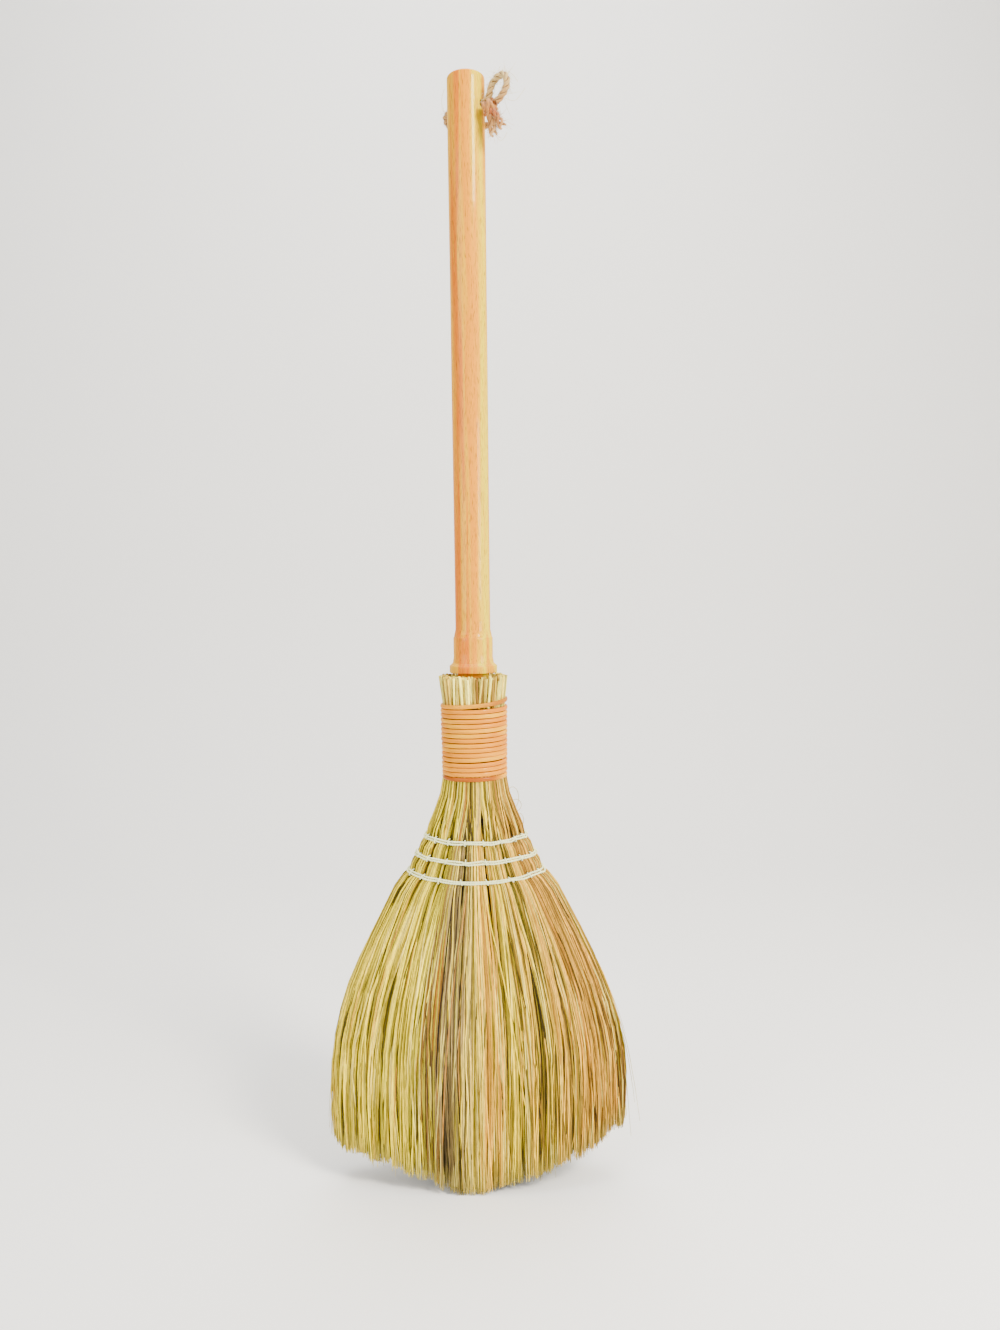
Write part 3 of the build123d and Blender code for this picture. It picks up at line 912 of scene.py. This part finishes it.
@dataclass
class Handle:
    """The turned handle: tenon, rim, cove, bead and grip, with a hole for the cord."""

    tenon: Pairs = ((0.0, 344.9), (6.0, 344.9), (13.0, RIM_Z))
    rim_radius: float = 19.2
    cove_z: float = 429.1
    bead_z: float = 434.3
    bead_radius: float = 15.75
    shoulder_z: float = 451.6
    grip_z: float = 457.2
    grip_radius_low: float = 14.0
    grip_radius_high: float = 14.75
    arris: float = 0.9
    end_round: float = 2.4
    hole_radius: float = 3.3

    def outline(self) -> list[tuple[float, float]]:
        """Radius and height along the outline, in millimetres, from the tenon's end to the top."""
        def arc(x: float, z: float, radius: float, start: float, end: float, steps: int = 5) -> list:
            angles = np.radians(np.linspace(start, end, steps))
            return [(x + radius * math.cos(a), z + radius * math.sin(a)) for a in angles]

        rim, bead, soft, grip = self.rim_radius, self.bead_radius, self.arris, self.grip_radius_low
        line = list(self.tenon)
        line += arc(rim - soft, RIM_Z + soft, soft, -90, 0)
        line += arc(rim - soft, self.cove_z - soft, soft, 0, 62)
        x, z = (rim + bead) / 2 - 0.9, (self.cove_z + self.bead_z) / 2 - 0.7
        line += [(x + 1.1, z - 1.15), (x, z), (bead + 0.35, self.bead_z - 0.4)]
        line += [(bead + 0.02, self.bead_z + 1.2), (bead + 0.1, self.bead_z + 6)]
        line += [(bead + 0.12, self.shoulder_z - 4)]
        line += arc(bead - 1.1, self.shoulder_z - 0.9, 1.2, 0, 50)
        line += [(grip + 0.5, self.grip_z - 1.2), (grip + 0.08, self.grip_z + 0.8)]
        for share in np.linspace(0.02, 0.985, 24):
            z = self.grip_z + (END_Z - self.grip_z) * share
            line.append((grip + (self.grip_radius_high - grip) * share + 0.05 * math.sin(z / 31), z))
        line += arc(self.grip_radius_high - self.end_round, END_Z - self.end_round, self.end_round, 8, 90, 6)
        return line + [(0.0, END_Z)]

    def build(self) -> None:
        """Turn the handle and drill it."""
        bm = bmesh.new()
        verts = [bm.verts.new((radius * MM, 0, z * MM)) for radius, z in self.outline()]
        edges = [bm.edges.new(pair) for pair in zip(verts, verts[1:])]
        bmesh.ops.spin(
            bm, geom=verts + edges, cent=(0, 0, 0), axis=(0, 0, 1), angle=TURN, steps=96, use_merge=True
        )
        bmesh.ops.remove_doubles(bm, verts=bm.verts, dist=1e-6)
        bmesh.ops.recalc_face_normals(bm, faces=bm.faces)
        wood = show("turned", to_mesh(bm, "turned"))
        drill = bmesh.new()
        along = Matrix.Rotation(HOLE_TURN, 4, "Z") @ Matrix.Rotation(math.radians(90), 4, "Y")
        bmesh.ops.create_cone(
            drill, cap_ends=True, segments=32, radius1=self.hole_radius * MM, radius2=self.hole_radius * MM,
            depth=0.06, matrix=Matrix.Translation((0, 0, HOLE_Z * MM)) @ along,
        )
        cutter = show("drill", to_mesh(drill, "drill"))
        cut = wood.modifiers.new("hole", "BOOLEAN")
        cut.object, cut.operation, cut.solver = cutter, "DIFFERENCE", "EXACT"
        mesh = bpy.data.meshes.new_from_object(wood.evaluated_get(bpy.context.evaluated_depsgraph_get()))
        for made in (wood, cutter):
            bpy.data.objects.remove(made)
        link_piece("turned_handle", mesh, LacqueredHardwood().build(), Body.BROOM, ("handle",), 32)


@dataclass
class CaneBinding:
    """One strip of split cane wound round the bundle, over its own tucked end at the front left."""

    turns: float = 15.6
    pitch: float = 3.85
    start_degrees: float = 190.0
    half_width: float = 1.72
    above: float = 0.95  # the strip's middle above the straw
    steps: int = 72
    seed: int = 3
    tuck_degrees: float = 229.5  # where the first turns ride over the tucked end
    tail_turns: tuple[float, float] = (0.27, 0.517)  # where the short end starts and stops
    skin: Stops = ((0, "D77E00"), (0.45, "E39002"), (0.75, "ECA606"), (1, "CE6F00"))
    tail_skin: Stops = ((0, "DC8806"), (0.6, "E8A310"), (1, "F0A830"))

    def profile(self) -> Pairs:
        """Section of the strip, out and up, in millimetres: flat inside, crowned outside."""
        crown = [(math.cos(a) * 1.05, math.sin(a) * self.half_width) for a in np.linspace(-1.25, 1.25, 9)]
        return (-0.75, -self.half_width * 0.93), *crown, (-0.75, self.half_width * 0.93)

    def build(self) -> None:
        """Wind the strip."""
        def wander(per_turn: int, values: np.ndarray) -> np.ndarray:
            """Values that follow each other round the turns, blended in between."""
            return np.interp(turn, np.arange(len(values)) / per_turn, values)

        chance = np.random.default_rng(self.seed)
        first, turns = self.start_degrees / 360, self.turns
        turn = np.linspace(0, turns, int(turns * self.steps))
        z = BINDING_Z + 1.75 + self.pitch * turn + wander(2, chance.normal(0, 0.16, 40))
        z += smooth(turns - 0.5, turns - 0.1, turn) * 3.0
        out = self.above + wander(4, chance.normal(0, 0.07, 80))
        angle = (first + turn) % 1 * TURN
        out += 0.55 * np.exp(-(((angle - math.radians(self.tuck_degrees)) / 0.07) ** 2)) * (turn < 5.5)
        out -= smooth(turns - 0.06, turns, turn) * 1.2
        tint = colour_stops(self.skin, wander(3, chance.uniform(0, 1, 60)))
        tint = mix(tint, "934A0E", smooth(turns - 0.5, turns - 0.2, turn)[:, None] * 0.75)
        tint = mix(tint, "933204", smooth(0.42, 0.3, turn)[:, None] * 0.8)
        size = np.interp(turn, (0, 0.03, turns - 0.03, turns), (0.55, 1, 1, 0.7))
        bundle = Bundle()
        bundle.add(FAN.place(z, (first + turn) * TURN, 1.0, out), size, tint)

        # A short end fills the step under the first turn, from the back to the left side
        share = np.linspace(0, 1, 40)
        z = BINDING_Z + 1.6 + 1.5 * smooth(0.0, 0.28, 0.28 - share) + 0.2 * share
        tail = FAN.place(z, np.linspace(*self.tail_turns, 40) * TURN, 1.0, self.above + 0.2 * share)
        size = np.interp(share, (0, 0.06, 0.9, 1), (0.6, 1, 1, 0.25))
        bundle.add(tail, size, colour_stops(self.tail_skin, share))
        mesh = bundle.strip_mesh("cane_winding", self.profile())
        link_piece("cane_winding", mesh, SplitCane().build(), Body.BROOM, ("cane_binding",), 60)


@dataclass
class TwineStitching:
    """Rows of doubled cotton twine, caught down by a stitch between the tufts."""

    cream: str = "F7FCC4"
    ply_radius: float = 0.43
    ply_offset: float = 0.38
    lay_mm: float = 4.4
    spacing: float = 1.75
    steps: int = 900
    stitches: int = 18
    seed: int = 11
    # A stitch over the row: how far each of its points stands out, and how high
    stitch_out: tuple[float, ...] = (-1.0, 0.4, 1.25, 1.5, 1.25, 0.4, -1.0)
    stitch_up: tuple[float, ...] = (2.1, 1.85, 1.1, 0.0, -1.1, -1.85, -2.1)

    def row(self, level: TwineLevel, material: Material) -> None:
        """Wind one row of two strands, each of two plies, and its stitches.

        Args:
            level: Where the row lies.
            material: The twine's finish.
        """
        chance = np.random.default_rng(self.seed + int(level.z))
        bundle = Bundle()
        cream = rgb(self.cream)
        angle = np.linspace(0.25, 1.25, self.steps) * TURN
        knots = np.linspace(0, 1.5, 46) * TURN
        drift = [np.interp(angle, knots, chance.normal(0, 0.4, len(knots))) for _ in range(4)]
        at_stitch = np.abs(angle / TURN * self.stitches % 1 - 0.5) * 2
        for strand, up in enumerate((-0.5, 0.5)):
            apart = up * self.spacing * (1 - 0.35 * at_stitch**6) * (1 + 0.5 * drift[strand])
            out = 0.75 - 0.45 * at_stitch**4 + 0.12 * drift[3 - strand]
            line = FAN.place(level.height(angle) + apart + drift[2] * 0.8, angle, 1.0, out)
            way = unit(np.gradient(line, axis=0))
            side = np.cross(way, (0, 0, 1.0))
            for ply in range(2):
                twist = distances(line) / self.lay_mm * TURN + ply * math.pi + strand
                offset = around(side, np.cross(side, way), twist) * self.ply_offset
                bundle.add(line + offset, self.ply_radius, cream * chance.normal(1, 0.03))
        if level is ROWS[1]:
            # A small open loop of slack at the left
            share = np.linspace(0, 1, 24)
            arch = np.sin(share * math.pi)
            slack = level.height(np.array(math.pi)) + 0.6 + 3.4 * arch
            line = FAN.place(slack, math.pi * 0.985 + 0.42 * share, 1.0, 0.9 + 1.6 * arch)
            bundle.add(line, self.ply_radius * 1.3, cream)
        for number in range(self.stitches):
            at = number / self.stitches * TURN + chance.normal(0, 0.012)
            reach = np.array(self.stitch_out) * chance.normal(1, 0.08)
            rise = np.array(self.stitch_up) * chance.normal(1, 0.1)
            lean = np.linspace(-1, 1, len(rise)) * chance.normal(0.012, 0.012)
            line = FAN.place(level.height(np.array(at)) + rise, at + lean, 1.0, reach)
            bundle.add(line, self.ply_radius * 1.15, cream * 0.97)
        name = "stitching_" + level.node
        link_piece(name, bundle.mesh(name, 6), material, Body.BROOM, (level.node,), 80)

    def build(self) -> None:
        """Wind the three rows."""
        material = SpunFibre("cotton_twine", 0.25, 0.2).build()
        for level in ROWS:
            self.row(level, material)


@dataclass
class HangingLoop:
    """The jute cord through the handle, its knot and its frayed tails."""

    diameter: float = 5.0
    length: float = 148.0
    ply_radius: float = 1.3
    ply_offset: float = 1.45
    lay_mm: float = 15.0
    hairs: int = 520
    hair_mm: float = 3.0
    tail_hairs: int = 130
    tail_hair_mm: float = 3.6
    tail_splay: float = 1.2
    fibre_radius: float = 0.13
    knot_turns: float = 2.5
    knot_pitch: float = 3.3
    knot_radius: float = 3.2
    bore_reach: float = 15.0  # within this distance of the handle's axis the cord is hidden
    seed: int = 5
    # Along the hole, to the back, and up, in millimetres from the middle of the hole
    route: Places = (
        (23.5, 1.5, -6.9), (23.5, 17.7, -8.2), (-22.0, 17.7, -7.6), (-22.4, 0.0, 0.0), (-1.4, 0.0, 0.0),
        (6.2, 0.0, 0.0), (20.1, 0.0, 0.0), (23.6, -0.6, 13.6), (36.0, -1.8, 18.0), (39.6, -2.4, 5.0),
        (29.4, -3.6, -3.6),
    )
    knot: tuple[float, float, float] = (23.6, -4.4, -6.4)
    tails: tuple[Places, ...] = (
        ((22.4, -4.6, -6.0), (27.6, -6.0, -11.0), (31.4, -5.0, -16.5), (34.4, -3.4, -23.0)),
        ((23.0, -4.4, -7.0), (24.8, -6.4, -14.0), (26.2, -5.4, -21.0), (26.8, -4.2, -28.0)),
    )
    # Long single fibres that stand off the cord, in the shared frame
    fibres: tuple[Places, ...] = (
        ((30.5, -17.0, 861.0), (36.0, -18.0, 857.5), (41.0, -18.0, 861.0), (45.5, -18.0, 868.0)),
        ((-16.0, 3.0, 858.0), (-19.0, 2.0, 864.0), (-18.8, 2.0, 872.0), (-16.5, 1.0, 877.0)),
        ((15.0, -6.5, 872.0), (19.0, -8.0, 879.5), (21.5, -9.0, 877.0), (17.5, -8.0, 872.5)),
        ((23.0, -16.0, 834.0), (25.0, -18.0, 829.5), (29.0, -18.0, 830.0), (31.5, -18.0, 836.0)),
        ((26.0, -15.0, 875.0), (30.0, -17.0, 880.5), (36.0, -18.0, 879.0), (40.0, -19.0, 872.0)),
    )
    cord_tints: Stops = (
        (0.0, "986326"), (0.25, "B98842"), (0.55, "BC8F48"), (0.7, "CDA962"), (0.85, "D4B776"),
        (1.0, "B57E37"),
    )
    knot_tints: Stops = ((0, "A66323"), (0.5, "B67D33"), (1, "A85E1A"))
    tail_tints: tuple[Stops, ...] = (
        ((0, "9A4608"), (0.6, "AB560E"), (1, "C18D4A")), ((0, "A46320"), (0.6, "B27933"), (1, "C9A060")),
    )

    def world(self, points: Places) -> np.ndarray:
        """Turn places counted from the hole to the shared frame, in millimetres."""
        cosine, sine = math.cos(HOLE_TURN), math.sin(HOLE_TURN)
        a, b, c = np.array(points, float).T
        return np.stack([a * cosine - b * sine, a * sine + b * cosine, c + HOLE_Z], axis=-1)

    def spline(self, name: str, points: np.ndarray, radius: float) -> bpy.types.Object:
        """One smooth open curve through the shared frame.

        Args:
            name: Its name.
            points: Its control points, in millimetres.
            radius: Its radius in millimetres, 0 for a bare line.

        Returns:
            The curve's object.
        """
        curve = bpy.data.curves.new(name, "CURVE")
        curve.dimensions = "3D"
        curve.resolution_u = 16
        curve.bevel_depth = radius * MM
        curve.bevel_resolution = 4
        curve.use_fill_caps = True
        line = curve.splines.new("NURBS")
        line.points.add(len(points) - 1)
        line.points.foreach_set("co", np.c_[points * MM, np.ones(len(points))].ravel())
        line.order_u = 3
        line.use_endpoint_u = True
        return bpy.data.objects.new(name, curve)

    def follow(self, points: np.ndarray) -> np.ndarray:
        """Places along the smooth curve of some control points, in millimetres."""
        bare = self.spline("line", points, 0)
        mesh = bpy.data.meshes.new_from_object(bare)
        places = np.array([vert.co for vert in mesh.vertices]) / MM
        bpy.data.objects.remove(bare)
        return places

    def plies(self, bundle: Bundle, line: np.ndarray, chance: Chance, tints: Stops, splay: float = 0) -> None:
        """Lay three plies round a line.

        Args:
            bundle: What they join.
            line: The line, in millimetres.
            chance: Random numbers.
            tints: Colours along the line.
            splay: How far the plies part at the line's end.
        """
        along = distances(line)
        fine = np.linspace(0, along[-1], max(24, int(along[-1] / 0.9)))
        tint = between(fine, along, colour_stops(tints, np.linspace(0, 1, len(line))))
        line = between(fine, along, line)
        way = unit(np.gradient(line, axis=0))
        sides = [unit(np.cross(way[0], (0.3, 0.2, 1)))]
        for step in way[1:]:
            sides.append(unit(sides[-1] - step * np.dot(sides[-1], step)))
        side = np.array(sides)
        share = fine / fine[-1]
        offset = (self.ply_offset + splay * share**3)[:, None]
        for ply in range(3):
            twist = fine / self.lay_mm * TURN + ply * TURN / 3
            radius = self.ply_radius * (1 + 0.1 * np.sin(fine * 0.7 + ply * 2))
            radius = radius * (1 - 0.35 * share**4 * (splay > 0))
            places = line + around(side, np.cross(way, side), twist) * offset
            bundle.add(places, radius, tint * chance.normal(1, 0.07))

    def hair(
        self, bundle: Bundle, chance: Chance, line: np.ndarray, count: int, long: float, colour: str
    ) -> None:
        """Add loose hairs that stand off a cord.

        Args:
            bundle: What they join.
            chance: Random numbers.
            line: The cord's line, in millimetres.
            count: How many hairs.
            long: Their usual length in millimetres.
            colour: Their hex colour.
        """
        at = chance.integers(1, len(line) - 1, count)
        way = unit(line[at] - line[at - 1])
        out = unit(np.cross(way, chance.normal(0, 1, (count, 3))))
        lean = way * chance.choice([-1, 1], (count, 1)) * chance.uniform(0.3, 1.4, (count, 1))
        curl = chance.normal(0, 0.35, (count, 3))
        reach = long * chance.gamma(3, 1 / 3, (count, 1))
        lines = [
            line[at] + out * 2.1 + (out * 0.7 * share + lean * share * 0.8 + curl * share * share) * reach
            for share in np.linspace(0, 1, 5)
        ]
        tints = rgb(colour) * chance.normal(1, 0.12, (count, 1, 1))
        bundle.add(np.stack(lines, axis=1), (0.09, 0.085, 0.07, 0.06, 0.04), tints)

    def build(self) -> None:
        """Lay the cord, tie its knot and fray its tails."""
        chance = np.random.default_rng(self.seed)
        jute = SpunFibre("spun_jute", 0.35, 0.25).build()
        control = self.world(self.route)
        cord = self.spline("jute_loop", control, self.diameter / 2 - 0.55)
        bpy.context.scene.collection.objects.link(cord)
        cord.data.materials.append(SpunFibre("spun_jute_core", 0.5, 0.25, ("5E3E14", "96682C")).build())
        mark(cord, Body.LOOP, ("hang_cord",))
        line = self.follow(control)
        cover, knot, hairs = Bundle(), Bundle(), Bundle()
        self.plies(cover, line, chance, self.cord_tints)

        # The knot is the cord's end wrapped round itself
        middle = self.world(self.knot)
        axis = unit(middle - control[-1])
        side = unit(np.cross(axis, (0, 0, 1.0)))
        turn = np.linspace(-self.knot_turns / 2, self.knot_turns / 2, 46)
        wraps = middle + np.outer(turn * self.knot_pitch, axis)
        wraps += self.knot_radius * around(side, np.cross(axis, side), turn * TURN)
        self.plies(knot, wraps, chance, self.knot_tints)
        for tail, tints in zip(self.tails, self.tail_tints):
            places = self.follow(self.world(tail))
            self.plies(knot, places, chance, tints, self.tail_splay)
            end = places[len(places) // 2 :]
            self.hair(hairs, chance, end, self.tail_hairs, self.tail_hair_mm, "C1904F")
        outside = line[np.linalg.norm(line[:, :2], axis=1) >= self.bore_reach]
        self.hair(hairs, chance, outside, self.hairs, self.hair_mm, "D2BE82")
        for fibre in self.fibres:
            hairs.add(self.follow(np.array(fibre)), self.fibre_radius, rgb("DFCFA4"))
        pieces = [
            link_piece(name, bundle.mesh(name, sides), jute, Body.LOOP, nodes, 80)
            for name, bundle, sides, nodes in (
                ("jute_plies", cover, 6, ()),
                ("jute_knot", knot, 6, ("cord_knot",)),
                ("jute_hairs", hairs, 4, ()),
            )
        ]


@dataclass(frozen=True)
class Lamp:
    """A square soft lamp: where it hangs and what it points at, in metres, its side, watts and colour."""

    name: str
    place: tuple[float, float, float]
    aim: tuple[float, float, float]
    size: float
    watts: float
    colour: str = "FFFFFF"

    def build(self) -> None:
        """Hang the lamp."""
        light = bpy.data.lights.new(self.name, "AREA")
        light.size, light.energy, light.color = self.size, self.watts, linear(self.colour)[:3]
        lamp = show(self.name, light)
        lamp.location = self.place
        lamp.rotation_euler = (Vector(self.aim) - Vector(self.place)).to_track_quat("-Z", "Y").to_euler()


@dataclass
class Studio:
    """Floor, wall, lamps and the camera of the photograph."""

    lens: float = 27.07
    tilt_degrees: float = 4.285
    roll_degrees: float = -0.65
    camera_place: tuple[float, float, float] = (0.0215, -0.8055, 0.489)
    air: str = "F4F2EE"
    air_strength: float = 0.52
    lamps: tuple[Lamp, ...] = (
        Lamp("key", (0.95, -1.0, 1.5), (0, 0, 0.4), 0.42, 57.0, "FFF6E6"),
        Lamp("side", (0.75, -0.55, 0.62), (0, 0, 0.5), 0.3, 8.0),
        Lamp("fill", (-1.5, -1.2, 1.0), (0, 0, 0.4), 1.2, 32.0),
        Lamp("top", (0.0, 0.25, 2.3), (0, 0.3, 0.3), 1.6, 56.0),
    )
    # The backdrop, in metres: its floor's ends in Y, the radius of its sweep, its height and half its width
    front_y: float = -2.5
    sweep_y: float = 0.9
    sweep: float = 0.5
    height: float = 3.0
    half_width: float = 3.0

    def backdrop(self) -> None:
        """Build the floor that sweeps up into a wall."""
        bm = bmesh.new()
        outline = [(self.front_y, 0.0), (self.sweep_y, 0.0)]
        for a in np.radians(np.arange(9, 91, 9)):
            outline.append((self.sweep_y + self.sweep * math.sin(a), self.sweep - self.sweep * math.cos(a)))
        outline.append((self.sweep_y + self.sweep, self.height))
        verts = [bm.verts.new((-self.half_width, y, z)) for y, z in outline]
        edges = [bm.edges.new(pair) for pair in zip(verts, verts[1:])]
        wide = bmesh.ops.extrude_edge_only(bm, edges=edges)["geom"]
        far_side = [item for item in wide if isinstance(item, bmesh.types.BMVert)]
        bmesh.ops.translate(bm, vec=(2 * self.half_width, 0, 0), verts=far_side)
        bmesh.ops.recalc_face_normals(bm, faces=bm.faces)
        if sum(face.normal.z for face in bm.faces) < 0:
            bmesh.ops.reverse_faces(bm, faces=bm.faces)
        mesh = to_mesh(bm, "backdrop")
        mesh.polygons.foreach_set("use_smooth", np.ones(len(mesh.polygons), bool))
        mesh.materials.append(PaleBackdrop().build())
        show("backdrop", mesh)

    def build(self) -> None:
        """Set up the camera, the lamps and the backdrop."""
        lens = bpy.data.cameras.new("photo_camera")
        lens.lens, lens.sensor_width, lens.sensor_fit = self.lens, 36.0, "AUTO"
        lens.clip_start = 0.01
        camera = show("photo_camera", lens)
        turn = Matrix.Rotation(math.radians(90 - self.tilt_degrees), 4, "X")
        roll = Matrix.Rotation(math.radians(self.roll_degrees), 4, "Z")
        camera.matrix_world = Matrix.Translation(self.camera_place) @ turn @ roll
        bpy.context.scene.camera = camera
        world = bpy.data.worlds.new("soft_room")
        world.use_nodes = True
        feed(world.node_tree.nodes["Background"], {"Color": linear(self.air), "Strength": self.air_strength})
        bpy.context.scene.world = world
        for lamp in self.lamps:
            lamp.build()
        self.backdrop()


def main() -> None:
    """Build the studio, then the broom from its cord down to its straw."""
    logging.basicConfig(level=logging.INFO, format="%(name)s: %(message)s")
    Studio().build()
    HangingLoop().build()
    Handle().build()
    CaneBinding().build()
    TwineStitching().build()
    Straw().build()


if __name__ == "__main__":
    main()
